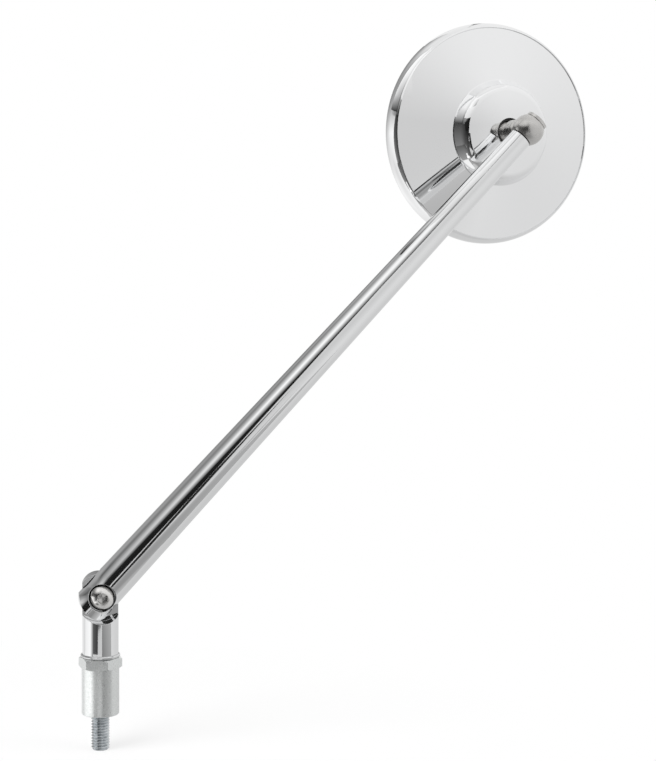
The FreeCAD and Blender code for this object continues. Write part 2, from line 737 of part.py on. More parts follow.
pieces = [
    mounting_stud(), adapter_sleeve(), stem_washer(), stem_knuckle(), pivot_screw(), pivot_washer(),
    arm(), swivel_screw(),
    elbow_knuckle(), ball_stud(),
    ball_liner(), pressure_cup(), pressure_spring(),
    socket_ring(), retaining_plate(), *[plate_screw(number) for number in (1, 2, 3)],
    back_shell(), glass_gasket(), mirror_glass(), rim_bezel()]
doc.recompute()

for item in doc.Objects:
    if "Invalid" in item.State or "Error" in item.State:
        raise RuntimeError(f"{item.Name} did not compute: {item.State}")
for piece in pieces:
    if piece.Shape.isNull() or not piece.Shape.isValid() or len(piece.Shape.Solids) != 1:
        raise RuntimeError(f"{piece.Label} is not one valid solid")

os.makedirs("parts", exist_ok=True)
for piece in pieces:
    piece.Shape.exportStep(f"parts/{piece.Label}.step")
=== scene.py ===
import json
import math

import bmesh
import bpy
from mathutils import Matrix, Vector


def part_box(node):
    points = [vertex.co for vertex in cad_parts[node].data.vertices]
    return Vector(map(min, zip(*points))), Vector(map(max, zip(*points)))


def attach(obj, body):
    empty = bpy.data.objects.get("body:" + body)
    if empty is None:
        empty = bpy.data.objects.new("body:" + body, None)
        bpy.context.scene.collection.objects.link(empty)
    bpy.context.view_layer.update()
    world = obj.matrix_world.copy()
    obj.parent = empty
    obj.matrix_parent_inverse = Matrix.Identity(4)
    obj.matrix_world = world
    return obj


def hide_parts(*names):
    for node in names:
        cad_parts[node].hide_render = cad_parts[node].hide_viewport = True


# Scooter mirror in a white studio. Metres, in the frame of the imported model: +Z up, the head's back to -Y.

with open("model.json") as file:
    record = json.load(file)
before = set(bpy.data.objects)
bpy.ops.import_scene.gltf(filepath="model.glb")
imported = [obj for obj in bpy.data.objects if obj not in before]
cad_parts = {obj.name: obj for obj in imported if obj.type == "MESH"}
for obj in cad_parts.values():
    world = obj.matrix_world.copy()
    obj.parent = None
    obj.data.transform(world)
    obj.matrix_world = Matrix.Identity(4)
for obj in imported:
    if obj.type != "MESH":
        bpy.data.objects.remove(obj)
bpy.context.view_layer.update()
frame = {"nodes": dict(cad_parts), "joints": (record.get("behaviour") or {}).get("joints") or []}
MM = 0.001
UP = Vector((0, 0, 1))
NODES = frame["nodes"]
JOINTS = {joint["name"]: joint for joint in frame["joints"]}


def joint_place(name):
    """Where a joint is at rest."""
    return Vector(JOINTS[name]["pos_m"])


def joint_axis(name):
    """Direction of a joint's axis, of length one."""
    return Vector(JOINTS[name]["axis"]).normalized()


# Helpers for meshes

MERGE_DISTANCE = 0.001 * MM


def mesh_object(name, points, faces, crease=40.0):
    """A new object from points and faces, with doubled points merged and normals facing out.
    Edges that turn by more than 'crease' degrees stay sharp."""
    mesh = bpy.data.meshes.new(name)
    mesh.from_pydata(points, [], faces)
    work = bmesh.new()
    work.from_mesh(mesh)
    bmesh.ops.remove_doubles(work, verts=work.verts, dist=MERGE_DISTANCE)
    bmesh.ops.dissolve_degenerate(work, edges=work.edges, dist=MERGE_DISTANCE)
    bmesh.ops.recalc_face_normals(work, faces=work.faces)
    work.to_mesh(mesh)
    work.free()
    mesh.shade_smooth()
    mesh.set_sharp_from_angle(angle=math.radians(crease))
    piece = bpy.data.objects.new(name, mesh)
    bpy.context.scene.collection.objects.link(piece)
    return piece


def grid_faces(columns, rows, first=0):
    """Quads between points that run up each of 'columns' columns in turn, 'rows' points a column."""
    faces = []
    for column in range(columns - 1):
        for row in range(rows - 1):
            corner = first + column * rows + row
            faces.append((corner, corner + rows, corner + rows + 1, corner + 1))
    return faces


def hexagon_radius(flats, angle):
    """Distance from the middle of a hexagon to its side at an angle."""
    from_side = (angle + math.pi / 6) % (math.pi / 3) - math.pi / 6
    return flats / 2 / math.cos(from_side)


def turned_points(rings, sides, seat, axis):
    """Points of rings (round radius, hexagon flats, height) about an axis, with heights from a seat.
    They run along the rings, column by column. A ring with flats follows the hexagon, not the round."""
    turn = UP.rotation_difference(axis).to_matrix()
    points = []
    for column in range(sides + 1):
        angle = math.tau * column / sides
        for radius, flats, height in rings:
            reach = hexagon_radius(flats, angle) if flats else radius
            points.append(seat + turn @ Vector((reach * math.cos(angle), reach * math.sin(angle), height)))
    return points


# Threaded stud

STUD_RADIUS = 4.0 * MM
STUD_CHAMFER = 0.8 * MM
THREAD_PITCH = 1.25 * MM
THREAD_DEPTH = 0.7 * MM
THREAD_ROOT = STUD_RADIUS - THREAD_DEPTH
THREAD_CREST_SHARE = 0.12
THREAD_FLANK_SHARE = 0.76
THREAD_ROUNDING = 0.07
THREAD_SIDES = 72
THREAD_ROWS_A_TURN = 12


def thread_radius(phase):
    """Radius of the thread at a phase of one pitch: a flat crest, slightly bulged flanks and a flat root."""
    from_crest = abs(2 * (phase % 1) - 1)
    fall = min(max((from_crest - THREAD_CREST_SHARE) / THREAD_FLANK_SHARE, 0), 1)
    return STUD_RADIUS - THREAD_DEPTH * (fall - THREAD_ROUNDING * math.sin(math.pi * fall) ** 2)


def threaded_stud():
    """The stud with a rolled helical thread below the sleeve and a plain grip inside it."""
    low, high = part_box("mounting_stud")
    grip_radius = high.x
    tip_radius = STUD_RADIUS - STUD_CHAMFER
    turns = math.ceil(-low.z / THREAD_PITCH) + 2
    rows = turns * THREAD_ROWS_A_TURN + 1
    points = []
    for column in range(THREAD_SIDES + 1):
        angle = math.tau * column / THREAD_SIDES
        for row in range(rows):
            phase = row / THREAD_ROWS_A_TURN
            height = low.z + (phase - 1 + angle / math.tau) * THREAD_PITCH
            height = min(max(height, low.z), 0)
            end_radius = tip_radius + (height - low.z)
            radius = min(thread_radius(phase), end_radius) if height < 0 else THREAD_ROOT
            points.append((radius * math.cos(angle), radius * math.sin(angle), height))
    faces = grid_faces(THREAD_SIDES + 1, rows)
    grip = [(THREAD_ROOT, 0, 0), (grip_radius, 0, 0), (grip_radius, 0, high.z), (0, 0, high.z)]
    foot = [(0, 0, low.z), (tip_radius, 0, low.z)]
    for rings in (grip, foot):
        faces += grid_faces(THREAD_SIDES + 1, len(rings), len(points))
        points += turned_points(rings, THREAD_SIDES, Vector(), UP)
    piece = mesh_object("threaded_stud", points, faces)
    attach(piece, "mount")
    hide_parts("mounting_stud")
    return piece


# Socket screws

SCREW_SIDES = 72
DOME_RINGS = 10
TIP_TO_SHANK = 0.2
CROWN_TO_FLATS = 0.65
MOUTH_TO_FLATS = 0.075
POINT_TO_FLATS = 0.2

PIVOT_HEAD = 3.3 * MM
PIVOT_EDGE = 0.5 * MM
PIVOT_FLATS = 4.0 * MM
PIVOT_DEPTH = 2.6 * MM
PIVOT_SHANK = 3.0 * MM
SWIVEL_HEAD = 2.7 * MM
SWIVEL_EDGE = 1.7 * MM
SWIVEL_RADIUS = 5.2 * MM
SWIVEL_RELIEF = 0.5 * MM
SWIVEL_FLATS = 3.0 * MM
SWIVEL_DEPTH = 1.2 * MM
SWIVEL_SHANK = 2.5 * MM
SWIVEL_REACH = 14.0 * MM
ELBOW_HEIGHT = 9.4 * MM


def screw_rings(shank, length, head, edge, height, flats, depth, relief=0.0):
    """Rings of a button-head screw, from its tip to its socket, with heights from the seat of the head.
    relief is the size of a square groove under the edge of the head."""
    tip = TIP_TO_SHANK * shank
    crown = CROWN_TO_FLATS * flats
    mouth = MOUTH_TO_FLATS * flats
    rise = height - edge
    drop = (head ** 2 - crown ** 2 - rise ** 2) / (2 * rise)
    ball = math.hypot(head, drop)
    rings = [(0, 0, -length), (shank - tip, 0, -length), (shank, 0, tip - length), (shank, 0, 0)]
    rings += [(head - relief, 0, 0), (head - relief, 0, relief), (head, 0, relief)]
    for ring in range(DOME_RINGS + 1):
        radius = head + (crown - head) * ring / DOME_RINGS
        rings.append((radius, 0, edge - drop + math.sqrt(ball ** 2 - radius ** 2)))
    rings += [(0, flats + mouth, height), (0, flats, height - mouth), (0, flats, height - depth)]
    rings.append((0, 0, height - depth - POINT_TO_FLATS * flats))
    return rings


def socket_screw(name, node, body, seat, axis, rings):
    """A screw with a broached hexagon socket, drilled to a point at its bottom."""
    points = turned_points(rings, SCREW_SIDES, seat, axis)
    piece = mesh_object(name, points, grid_faces(SCREW_SIDES + 1, len(rings)))
    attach(piece, body)
    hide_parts(node)
    return piece


def pivot_screw():
    """The screw through the half-lap joint, with its head to -Y."""
    low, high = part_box("pivot_screw")
    middle = (low + high) / 2
    seat = Vector((middle.x, low.y + PIVOT_HEAD, middle.z))
    length = high.y - seat.y
    head = (high.x - low.x) / 2
    rings = screw_rings(PIVOT_SHANK, length, head, PIVOT_EDGE, PIVOT_HEAD, PIVOT_FLATS, PIVOT_DEPTH)
    piece = socket_screw("pivot_button_screw", "pivot_screw", "mount", seat, Vector((0, -1, 0)), rings)
    return piece


def swivel_screw():
    """The screw on which the elbow turns, with its head on top of the elbow."""
    axis = joint_axis("elbow_swivel")
    seat = joint_place("elbow_swivel") + ELBOW_HEIGHT / 2 * axis
    length = ELBOW_HEIGHT + SWIVEL_REACH
    rings = screw_rings(SWIVEL_SHANK, length, SWIVEL_RADIUS, SWIVEL_EDGE, SWIVEL_HEAD, SWIVEL_FLATS,
                        SWIVEL_DEPTH, SWIVEL_RELIEF)
    piece = socket_screw("swivel_button_screw", "swivel_screw", "arm", seat, axis, rings)
    return piece


# Mirror glass

GLASS_CURVE = 1200.0 * MM
GLASS_WALL = 2.0 * MM
GLASS_BEVEL = 0.3 * MM
GLASS_RINGS = 16
GLASS_SIDES = 120
GLASS_CREASE = 30.0


def bulge(radius):
    """How far the convex glass falls away from its middle at a radius."""
    return GLASS_CURVE - math.sqrt(GLASS_CURVE ** 2 - radius ** 2)


def mirror_glass():
    """Convex glass with a ground bevel round both edges, about the axis on which the head spins."""
    middle = joint_place("head_spin")
    front = -joint_axis("head_spin")
    node = NODES["mirror_glass"]
    corners = [node.matrix_world @ corner.co - middle for corner in node.data.vertices]
    top = max(corner.dot(front) for corner in corners)
    edge = max((corner - corner.dot(front) * front).length for corner in corners)
    side_top = top - bulge(edge) - GLASS_BEVEL
    side_foot = top - bulge(edge) - GLASS_WALL + GLASS_BEVEL
    radii = [(edge - GLASS_BEVEL) * ring / GLASS_RINGS for ring in range(GLASS_RINGS + 1)]
    rings = [(radius, 0, top - bulge(radius)) for radius in radii]
    rings += [(edge, 0, side_top), (edge, 0, side_foot)]
    rings += [(radius, 0, top - GLASS_WALL - bulge(radius)) for radius in reversed(radii)]
    points = turned_points(rings, GLASS_SIDES, middle, front)
    piece = mesh_object("silvered_glass", points, grid_faces(GLASS_SIDES + 1, len(rings)), GLASS_CREASE)
    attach(piece, "head")
    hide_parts("mirror_glass")
    return piece


# Helpers for materials and the world, which both own a node tree

ROUGHNESS_SPAN = (0.3, 0.7)
COLOUR_SPAN = (0.32, 0.68)
# The crevice values set the painted shade that darkens colour in gaps between parts.
CREVICE_SPAN = (0.12, 0.7)
CREVICE_SAMPLES = 16
CREVICE_DARK = 0.15


def add_node(owner, kind, **inputs):
    """A new node, with constants on the inputs that are named."""
    node = owner.node_tree.nodes.new(kind)
    for name, value in inputs.items():
        node.inputs[name.replace("_", " ")].default_value = value
    return node


def link(owner, source, output, target, name):
    """Join an output of one node to an input of another."""
    owner.node_tree.links.new(source.outputs[output], target.inputs[name])


def new_material(name, colour, metallic):
    """A material with its constant colour and metallic level set on the shader itself."""
    material = bpy.data.materials.new(name)
    material.use_nodes = True
    shader = material.node_tree.nodes["Principled BSDF"]
    shader.inputs["Base Color"].default_value = (*colour, 1)
    shader.inputs["Metallic"].default_value = metallic
    return material, shader


def noise(material, scale, detail=3.0, stretch=(1, 1, 1)):
    """Noise in the frame's own coordinates. scale is grains a metre; stretch squeezes it along an axis."""
    place = add_node(material, "ShaderNodeTexCoord")
    mapping = add_node(material, "ShaderNodeMapping", Scale=stretch)
    grain = add_node(material, "ShaderNodeTexNoise", Scale=scale, Detail=detail)
    link(material, place, "Object", mapping, "Vector")
    link(material, mapping, "Vector", grain, "Vector")
    return grain


def colour_ramp(material, span, dark, light):
    """A ramp from a dark to a light colour over a span of its input."""
    ramp = add_node(material, "ShaderNodeValToRGB")
    for element, position, colour in zip(ramp.color_ramp.elements, span, (dark, light)):
        element.position = position
        element.color = (*colour, 1)
    return ramp


def vary_roughness(material, shader, grain, low, high):
    """Let the roughness run from low to high with the grain."""
    start, end = ROUGHNESS_SPAN
    spread = add_node(material, "ShaderNodeMapRange", From_Min=start, From_Max=end, To_Min=low, To_Max=high)
    link(material, grain, "Fac", spread, "Value")
    link(material, spread, "Result", shader, "Roughness")


def vary_colour(material, shader, grain, dark, light):
    """Let the colour run from dark to light with the grain."""
    ramp = colour_ramp(material, COLOUR_SPAN, dark, light)
    link(material, grain, "Fac", ramp, "Fac")
    link(material, ramp, "Color", shader, "Base Color")


def rough_surface(material, shader, grain, height, edge=0.0):
    """Bump of a height in metres over edges that are rounded by a radius."""
    bump = add_node(material, "ShaderNodeBump", Strength=1.0, Distance=height)
    link(material, grain, "Fac", bump, "Height")
    if edge:
        rounding = add_node(material, "ShaderNodeBevel", Radius=edge)
        link(material, rounding, "Normal", bump, "Normal")
    link(material, bump, "Normal", shader, "Normal")


def paint_crevice_shade(material, shader, reach, darkest=CREVICE_DARK):
    """Paint shade into the constant colour in gaps about as narrow as 'reach', down to 'darkest' of itself.
    """
    shade = add_node(material, "ShaderNodeAmbientOcclusion", Distance=reach)
    shade.samples = CREVICE_SAMPLES
    depth = colour_ramp(material, CREVICE_SPAN, (darkest, darkest, darkest), (1, 1, 1))
    mix = add_node(material, "ShaderNodeMixRGB", Fac=1.0, Color1=shader.inputs["Base Color"].default_value)
    mix.blend_type = "MULTIPLY"
    link(material, shade, "AO", depth, "Fac")
    link(material, depth, "Color", mix, "Color2")
    link(material, mix, "Color", shader, "Base Color")


# Materials, one for each slot of the record and two in another tone, of which the lighter satin nickel is
# painted light

def chrome(name, colour, edge, crevice, darkest=CREVICE_DARK):
    """Polished chrome: a faint orange peel, patches that are a little less bright, and painted shade in its
    crevices.
    """
    material, shader = new_material(name, colour, 1.0)
    vary_roughness(material, shader, noise(material, 90.0), 0.025, 0.05)
    rough_surface(material, shader, noise(material, 220.0, 1.0), 0.0006 * MM, edge)
    paint_crevice_shade(material, shader, crevice, darkest)
    return material


def zinc_sleeve():
    """Satin zinc with a sandy grain and a faint green tint."""
    material, shader = new_material("zinc_sleeve", (0.84, 0.86, 0.85), 1.0)
    grain = noise(material, 2600.0, 2.0)
    vary_colour(material, shader, grain, (0.74, 0.765, 0.755), (0.93, 0.945, 0.94))
    vary_roughness(material, shader, noise(material, 900.0), 0.26, 0.36)
    rough_surface(material, shader, grain, 0.012 * MM, 0.15 * MM)
    return material


def zinc_thread():
    """Bright zinc plate on the thread, bluish, with fine drawn lines round the stud."""
    material, shader = new_material("zinc_thread", (0.62, 0.65, 0.67), 1.0)
    vary_colour(material, shader, noise(material, 700.0), (0.52, 0.55, 0.57), (0.72, 0.75, 0.77))
    vary_roughness(material, shader, noise(material, 400.0), 0.15, 0.22)
    rough_surface(material, shader, noise(material, 1500.0, 2.0, (1, 1, 4)), 0.006 * MM)
    return material


def nickel():
    """Soft nickel of the pivot screw, a trace warm, with painted shade in its crevices."""
    material, shader = new_material("nickel", (0.86, 0.85, 0.835), 1.0)
    vary_roughness(material, shader, noise(material, 500.0), 0.16, 0.24)
    rough_surface(material, shader, noise(material, 900.0, 2.0), 0.002 * MM, 0.15 * MM)
    paint_crevice_shade(material, shader, 3.0 * MM)
    return material


def satin_nickel(name, dark, light):
    """Satin nickel with a fine cast skin, between a dark and a light warm grey."""
    material, shader = new_material(name, light, 1.0)
    vary_colour(material, shader, noise(material, 350.0), dark, light)
    vary_roughness(material, shader, noise(material, 600.0), 0.25, 0.30)
    rough_surface(material, shader, noise(material, 900.0, 1.0), 0.0006 * MM)
    return material


def spring_steel():
    """Drawn spring wire, dark and oiled."""
    material, shader = new_material("spring_steel", (0.35, 0.35, 0.36), 1.0)
    vary_colour(material, shader, noise(material, 800.0), (0.26, 0.26, 0.27), (0.42, 0.42, 0.43))
    vary_roughness(material, shader, noise(material, 1200.0), 0.25, 0.45)
    return material


def socket_alloy():
    """Die-cast cup of the ball joint, dull grey."""
    material, shader = new_material("socket_alloy", (0.42, 0.43, 0.45), 1.0)
    vary_colour(material, shader, noise(material, 500.0), (0.34, 0.35, 0.37), (0.50, 0.51, 0.53))
    vary_roughness(material, shader, noise(material, 800.0), 0.40, 0.60)
    rough_surface(material, shader, noise(material, 1800.0), 0.01 * MM)
    return material


def nylon():
    """Black glass-filled nylon of the socket, with short pale fibres."""
    material, shader = new_material("nylon", (0.03, 0.03, 0.03), 0.0)
    fibres = noise(material, 1500.0, 4.0, (1, 1, 5))
    vary_colour(material, shader, fibres, (0.018, 0.018, 0.018), (0.05, 0.05, 0.05))
    vary_roughness(material, shader, noise(material, 700.0), 0.35, 0.55)
    rough_surface(material, shader, noise(material, 1200.0), 0.01 * MM)
    return material


def gasket_rubber():
    """Black rubber with a dusty bloom."""
    material, shader = new_material("gasket_rubber", (0.03, 0.03, 0.03), 0.0)
    vary_colour(material, shader, noise(material, 300.0), (0.02, 0.02, 0.02), (0.06, 0.06, 0.06))
    vary_roughness(material, shader, noise(material, 500.0), 0.6, 0.8)
    rough_surface(material, shader, noise(material, 2500.0), 0.015 * MM)
    return material


def mirror_silver():
    """Silvered glass: an even mirror with a trace of haze and a clear face over it."""
    material, shader = new_material("mirror_silver", (0.90, 0.92, 0.92), 1.0)
    shader.inputs["Coat Weight"].default_value = 0.5
    shader.inputs["Coat Roughness"].default_value = 0.01
    vary_roughness(material, shader, noise(material, 60.0), 0.012, 0.03)
    return material


MATERIALS = {
    # The last numbers of the three chromes set the reach and darkness of their painted crevice shade.
    "chrome": chrome("chrome", (0.93, 0.935, 0.94), 0.25 * MM, 1.2 * MM),
    "shell_chrome": chrome("shell_chrome", (0.97, 0.973, 0.978), 0.2 * MM, 1.5 * MM, 0.8),
    "washer_chrome": chrome("washer_chrome", (0.76, 0.765, 0.77), 0.15 * MM, 3.0 * MM),
    "zinc_sleeve": zinc_sleeve(),
    "zinc_thread": zinc_thread(),
    "nickel": nickel(),
    "satin_nickel": satin_nickel("satin_nickel", (0.60, 0.59, 0.575), (0.66, 0.65, 0.635)),
    # A lighter copy of the satin nickel for the swivel screw's head: painted light, so that the head reads
    # as lit against the elbow.
    "lit_satin_nickel": satin_nickel("lit_satin_nickel", (0.66, 0.65, 0.635), (0.72, 0.71, 0.695)),
    "spring_steel": spring_steel(),
    "socket_alloy": socket_alloy(),
    "nylon": nylon(),
    "gasket_rubber": gasket_rubber(),
    "mirror_silver": mirror_silver(),
}
FINISHES = {
    "mounting_stud": "zinc_thread", "adapter_sleeve": "zinc_sleeve", "stem_washer": "washer_chrome",
    "stem_knuckle": "chrome", "pivot_screw": "nickel", "pivot_washer": "nickel",
    "arm": "chrome", "swivel_screw": "lit_satin_nickel",
    "elbow_knuckle": "satin_nickel", "ball_stud": "satin_nickel", "ball_liner": "nylon",
    "pressure_cup": "socket_alloy", "pressure_spring": "spring_steel", "socket_ring": "nylon",
    "retaining_plate": "zinc_sleeve", "plate_screw_1": "zinc_thread", "plate_screw_2": "zinc_thread",
    "plate_screw_3": "zinc_thread", "back_shell": "shell_chrome", "glass_gasket": "gasket_rubber",
    "mirror_glass": "mirror_silver", "rim_bezel": "shell_chrome",
}
OWN_PIECES = {
    "mounting_stud": threaded_stud, "pivot_screw": pivot_screw,
    "swivel_screw": swivel_screw, "mirror_glass": mirror_glass,
}


def set_finish(piece, finish):
    """Show a piece in one finish only."""
    piece.data.materials.clear()
    piece.data.materials.append(MATERIALS[finish])


for node, finish in FINISHES.items():
    set_finish(NODES[node], finish)
for node, make_piece in OWN_PIECES.items():
    set_finish(make_piece(), FINISHES[node])


# Studio: white all round, with cards that only reflections see, as in a product studio

STUDIO_CENTRE = Vector((0.1, 0.0, 0.15))
FLOOR_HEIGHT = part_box("mounting_stud")[0].z
CARD_STEPS = 24
WALL_STEPS = 8
NEAR_STEPS = 12


def shine(name):
    """A material as bright as the shade at each point of its card."""
    material = bpy.data.materials.new(name)
    material.use_nodes = True
    material.node_tree.nodes.clear()
    reading = add_node(material, "ShaderNodeAttribute")
    reading.attribute_name = "shade"
    glow = add_node(material, "ShaderNodeEmission", Color=(1, 1, 1, 1))
    output = add_node(material, "ShaderNodeOutputMaterial")
    link(material, reading, "Fac", glow, "Strength")
    link(material, glow, "Emission", output, "Surface")
    return material


def shaded_card(name, points, faces, shades):
    """A card that shines in reflections and nowhere else, with a brightness at each point."""
    mesh = bpy.data.meshes.new(name)
    mesh.from_pydata(points, [], faces)
    shade = mesh.attributes.new("shade", "FLOAT", "POINT")
    shade.data.foreach_set("value", shades)
    mesh.materials.append(shine(name))
    piece = bpy.data.objects.new(name, mesh)
    bpy.context.scene.collection.objects.link(piece)
    piece.visible_camera = False
    piece.visible_diffuse = False
    piece.visible_shadow = False
    piece.visible_transmission = False
    piece.visible_volume_scatter = False


def wall_point(azimuth, elevation, distance, centre=STUDIO_CENTRE):
    """A point seen from a centre at angles in degrees, with azimuth 0 at -Y and 90 at +X."""
    turn = math.radians(azimuth)
    rise = math.radians(elevation)
    way = Vector((math.sin(turn) * math.cos(rise), -math.cos(turn) * math.cos(rise), math.sin(rise)))
    return centre + distance * way


def card(name, corners, distance, levels, steps=CARD_STEPS, centre=STUDIO_CENTRE):
    """A curved card between four corners (azimuth, elevation), from lower left round to upper left.
    levels are the brightness at the same corners, and it shades smoothly between them."""
    points = []
    shades = []
    for column in range(steps + 1):
        across = column / steps
        for row in range(steps + 1):
            up = row / steps
            shares = ((1 - across) * (1 - up), across * (1 - up), across * up, (1 - across) * up)
            azimuth = sum(share * corner[0] for share, corner in zip(shares, corners))
            elevation = sum(share * corner[1] for share, corner in zip(shares, corners))
            points.append(wall_point(azimuth, elevation, distance, centre))
            shades.append(sum(share * level for share, level in zip(shares, levels)))
    shaded_card(name, points, grid_faces(steps + 1, steps + 1), shades)


def wall(name, azimuths, rows, distance, centre=STUDIO_CENTRE):
    """A wide card: rows of (elevation, levels) from the lowest up, with a level at each azimuth."""
    for low, high in zip(rows, rows[1:]):
        for side in range(len(azimuths) - 1):
            left, right = azimuths[side], azimuths[side + 1]
            corners = [(left, low[0]), (right, low[0]), (right, high[0]), (left, high[0])]
            levels = (low[1][side], low[1][side + 1], high[1][side + 1], high[1][side])
            card(f"{name}_{low[0]}_{left}", corners, distance, levels, WALL_STEPS, centre)


def ring_card(name, start, end, edges, levels, steps):
    """A card round the stud from azimuth start to end, between two edges (radius, height).
    levels are the brightness of both edges at the start, and then of both at the end."""
    points = []
    shades = []
    for column in range(steps + 1):
        across = column / steps
        turn = math.radians(start + (end - start) * across)
        for row, (radius, height) in enumerate(edges):
            points.append((radius * math.sin(turn), -radius * math.cos(turn), height))
            shades.append((1 - across) * levels[row] + across * levels[2 + row])
    shaded_card(name, points, grid_faces(steps + 1, 2), shades)


# Cards round the whole studio, each layer in front of the one before

OUTER = 1.55
WALLS = 1.5
SCREENS = 1.48
MIDDLE = 1.45
INNER = 1.44
INMOST = 0.8


def studio_walls():
    """A fairly bright front and right side, and a left side and rear that are dark at half height."""
    wall("front", (-60, 4, 35, 110, 175), [
        (-60, (0.45, 0.50, 0.58, 0.58, 0.60)),
        (-26, (0.52, 0.63, 0.74, 0.63, 0.60)),
        (12, (0.60, 0.62, 0.72, 0.80, 0.85)),
        (38, (0.72, 0.77, 0.83, 0.86, 0.86)),
        (62, (0.86, 0.86, 0.87, 0.87, 0.80))], WALLS)
    wall("rear", (-205, -158, -128, -106, -85, -60), [
        (18, (0.15, 0.25, 0.55, 0.35, 0.08, 0.02)),
        (32, (0.20, 0.32, 0.30, 0.10, 0.24, 0.42)),
        (45, (0.60, 0.52, 0.20, 0.30, 0.45, 1.03)),
        (58, (0.80, 0.80, 0.45, 0.52, 0.85, 1.05)),
        (75, (0.80, 0.80, 0.80, 0.80, 0.86, 0.90))], WALLS)
    wall("left", (-185, -158, -126, -101), [
        (-60, (0.60, 0.80, 0.95, 0.95)),
        (-19, (0.80, 0.95, 0.70, 0.90)),
        (6, (0.22, 0.45, 0.93, 0.98)),
        (19, (0.22, 0.25, 0.55, 0.60))], WALLS)
    card("ceiling", [(-205, 74), (175, 60), (175, 90), (-205, 90)], OUTER, (0.70, 0.86, 0.86, 0.86))
    card("floor_below", [(-185, -90), (175, -90), (175, -60), (-185, -60)], OUTER, [0.55] * 4)


def dark_gap():
    """A dark gap left of the camera, a soft lamp above it, and the camera's own dark body."""
    card("left_foot", [(-112, -60), (-60, -60), (-60, -18), (-106, -18)], SCREENS, (0.45, 0.35, 0.05, 0.12))
    card("left_dark", [(-104, -18), (-46, -18), (-46, 20), (-101, 20)], SCREENS, (0.22, 0.05, 0.03, 0.06))
    card("glow_right", [(-60, 21), (-9, 30), (-9, 52), (-60, 44)], MIDDLE, (0.02, 0.01, 0.60, 1.03))
    card("glow_top", [(-60, 44), (-9, 52), (-14, 60), (-60, 62)], MIDDLE, (1.08, 0.60, 0.72, 1.00))
    card("gap_middle", [(-46, 8), (-10, 8), (-13, 30), (-60, 21)], INNER, (0.01, 0.01, 0.01, 0.02))
    card("gap_low", [(-60, -26), (-34, -26), (-10, 8), (-46, 8)], MIDDLE, (0.13, 0.06, 0.01, 0.02))
    card("gap_bottom", [(-80, -55), (-34, -55), (-34, -26), (-60, -26)], MIDDLE, (0.20, 0.10, 0.06, 0.13))
    card("gap_table", [(-34, -16.2), (-7, -16.2), (-7, -6), (-34, -6)], INNER, (0.04, 0.18, 0.05, 0.03))
    card("camera_body", [(-9.5, -12), (1, -12), (-1, 9), (-11.5, 9)], INMOST, [0.02] * 4)


# Cards near the elbow, the dome, the stem and the sleeve, and on the floor round the stud

NEAR_REACH = 0.12
STEM_REACH = 0.08
STEM_SPAN = (0.0075, 0.060)
SLEEVE_TOP = 0.002
SLEEVE_FOOT = -0.050
FILL_FOOT = -0.030
FLOOR_INNER = 0.03
FLOOR_MIDDLE = 0.14
FLOOR_OUTER = 0.42
FLOOR_CARD_HEIGHT = FLOOR_HEIGHT + 0.5 * MM


def side_card(name, start, end, reach, span, levels):
    """An upright card round the stud. levels are its brightness at the start and at the end."""
    edges = [(reach, height) for height in span]
    ring_card(name, start, end, edges, (levels[0], levels[0], levels[1], levels[1]), NEAR_STEPS)


def floor_card(name, start, end, near, far, levels):
    """A sector of the floor about the stud, from radius near to far."""
    edges = [(radius, FLOOR_CARD_HEIGHT) for radius in (near, far)]
    ring_card(name, start, end, edges, levels, CARD_STEPS)


def near_cards():
    """Soft lights close to the elbow, the dome, the stem and the sleeve."""
    card("elbow_glow", [(-95, 24), (-25, 24), (-25, 44), (-95, 44)], NEAR_REACH, (0.80, 0.65, 0.85, 0.95),
         NEAR_STEPS, joint_place("elbow_swivel"))
    wall("dome_glow", (-118, -84), [
        (14, (0.06, 0.01)), (24, (0.80, 0.15)), (40, (1.05, 0.70)), (62, (1.02, 0.80))],
        NEAR_REACH, joint_place("head_spin"))
    side_card("stem_glow", -114, -72, STEM_REACH, STEM_SPAN, (0.90, 1.02))
    side_card("stem_fade", -72, -52, STEM_REACH, STEM_SPAN, (1.02, 0.12))
    side_card("sleeve_glow", -118, -64, NEAR_REACH, (SLEEVE_FOOT, SLEEVE_TOP), (1.10, 1.45))
    side_card("sleeve_fade", -64, -46, NEAR_REACH, (SLEEVE_FOOT, SLEEVE_TOP), (1.45, 0.66))
    side_card("sleeve_fill", -46, -2, NEAR_REACH, (FILL_FOOT, SLEEVE_TOP), (0.66, 0.66))


def floor_cards():
    """Grey floor to the front right of the stud, with a dark line on its left and a darker right edge."""
    floor_card("floor_near", 5, 61, FLOOR_INNER, FLOOR_MIDDLE, (0.30, 0.24, 0.58, 0.44))
    floor_card("floor_front", 5, 34, FLOOR_MIDDLE, 0.7, (0.20, 0.50, 0.30, 0.54))
    floor_card("floor_side", 34, 61, FLOOR_MIDDLE, FLOOR_OUTER, (0.30, 0.42, 0.38, 0.48))
    floor_card("floor_line", 3.2, 5.2, FLOOR_INNER, 0.5, (0.04, 0.2, 0.04, 0.2))
    floor_card("floor_edge", 61, 63, FLOOR_MIDDLE, FLOOR_OUTER, (0.24, 0.40, 0.24, 0.40))


# World, floor and lamps

WORLD_FILL = 0.55
FLOOR_HALF = 6.0
SHADOW_NEAR = 0.02
SHADOW_FAR = 0.22
SHADOW_WHITE = 0.7


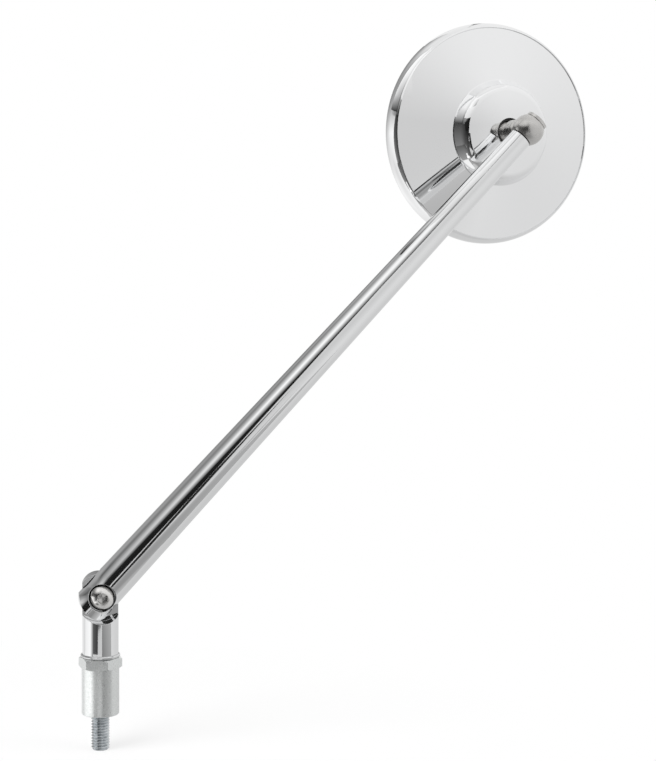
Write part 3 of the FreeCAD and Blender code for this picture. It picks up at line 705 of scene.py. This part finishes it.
def white_world():
    """White where the camera, metal or glass looks at it, and a soft fill for everything else."""
    world = bpy.data.worlds.new("studio")
    bpy.context.scene.world = world
    world.use_nodes = True
    world.node_tree.nodes.clear()
    path = add_node(world, "ShaderNodeLightPath")
    seen = path.outputs["Is Camera Ray"]
    for ray in ("Is Glossy Ray", "Is Transmission Ray"):
        most = add_node(world, "ShaderNodeMath")
        most.operation = "MAXIMUM"
        world.node_tree.links.new(seen, most.inputs[0])
        link(world, path, ray, most, 1)
        seen = most.outputs[0]
    level = add_node(world, "ShaderNodeMapRange", To_Min=WORLD_FILL, To_Max=1.0)
    light = add_node(world, "ShaderNodeBackground", Color=(1, 1, 1, 1))
    output = add_node(world, "ShaderNodeOutputWorld")
    world.node_tree.links.new(seen, level.inputs["Value"])
    link(world, level, "Result", light, "Strength")
    link(world, light, "Background", output, "Surface")


def pale_floor():
    """A white floor under the stud that keeps a faint shadow near it."""
    sides = ((-1, -1), (1, -1), (1, 1), (-1, 1))
    corners = [(FLOOR_HALF * across, FLOOR_HALF * along, FLOOR_HEIGHT) for across, along in sides]
    floor = mesh_object("floor", corners, [(0, 1, 2, 3)])
    material, shader = new_material("floor", (0.9, 0.9, 0.9), 0.0)
    shader.inputs["Roughness"].default_value = 0.9
    shader.inputs["Specular IOR Level"].default_value = 0.0
    place = add_node(material, "ShaderNodeTexCoord")
    away = add_node(material, "ShaderNodeVectorMath")
    away.operation = "LENGTH"
    white = add_node(material, "ShaderNodeMapRange", From_Min=SHADOW_NEAR, From_Max=SHADOW_FAR,
                     To_Min=SHADOW_WHITE, To_Max=1.0)
    path = add_node(material, "ShaderNodeLightPath")
    share = add_node(material, "ShaderNodeMath")
    share.operation = "MULTIPLY"
    glow = add_node(material, "ShaderNodeEmission", Color=(1, 1, 1, 1), Strength=1.0)
    mix = add_node(material, "ShaderNodeMixShader")
    link(material, place, "Object", away, 0)
    link(material, away, "Value", white, "Value")
    link(material, white, "Result", share, 0)
    link(material, path, "Is Camera Ray", share, 1)
    link(material, share, "Value", mix, 0)
    link(material, shader, "BSDF", mix, 1)
    link(material, glow, "Emission", mix, 2)
    link(material, mix, "Shader", material.node_tree.nodes["Material Output"], "Surface")
    floor.data.materials.append(material)
    floor.visible_glossy = False


def lamp(name, azimuth, elevation, distance, size, power):
    """A square soft lamp that lights matt surfaces; the cards stand in for it in reflections."""
    data = bpy.data.lights.new(name, "AREA")
    data.size = size
    data.energy = power
    piece = bpy.data.objects.new(name, data)
    piece.location = wall_point(azimuth, elevation, distance)
    piece.rotation_euler = (STUDIO_CENTRE - piece.location).to_track_quat("-Z", "Y").to_euler()
    piece.visible_glossy = False
    bpy.context.scene.collection.objects.link(piece)


# Camera at the photograph's viewing angle, with angles in degrees and the lens in millimetres

CAMERA_PLACE = Vector((-106.3, -794.23, 210.89)) * MM
CAMERA_YAW = 14.705
CAMERA_PITCH = -4.547
CAMERA_ROLL = 0.498
CAMERA_LENS = 87.06
CAMERA_SENSOR = 36.0
CAMERA_CLIP = 0.01


def rotation(degrees, axis):
    """A turn about one axis."""
    return Matrix.Rotation(math.radians(degrees), 3, axis)


def camera():
    """The camera, which looks along +Y until its yaw, pitch and roll turn it."""
    data = bpy.data.cameras.new("camera")
    data.lens = CAMERA_LENS
    data.sensor_width = CAMERA_SENSOR
    data.clip_start = CAMERA_CLIP
    piece = bpy.data.objects.new("camera", data)
    turn = rotation(-CAMERA_YAW, "Z") @ rotation(90 + CAMERA_PITCH, "X") @ rotation(CAMERA_ROLL, "Z")
    piece.matrix_world = Matrix.Translation(CAMERA_PLACE) @ turn.to_4x4()
    bpy.context.scene.collection.objects.link(piece)
    bpy.context.scene.camera = piece


studio_walls()
dark_gap()
near_cards()
floor_cards()
white_world()
pale_floor()
lamp("key_lamp", -60, 45, 1.4, 0.8, 14.0)
lamp("fill_lamp", 60, 30, 1.6, 1.0, 8.0)
camera()
bpy.context.scene.view_settings.view_transform = "Standard"
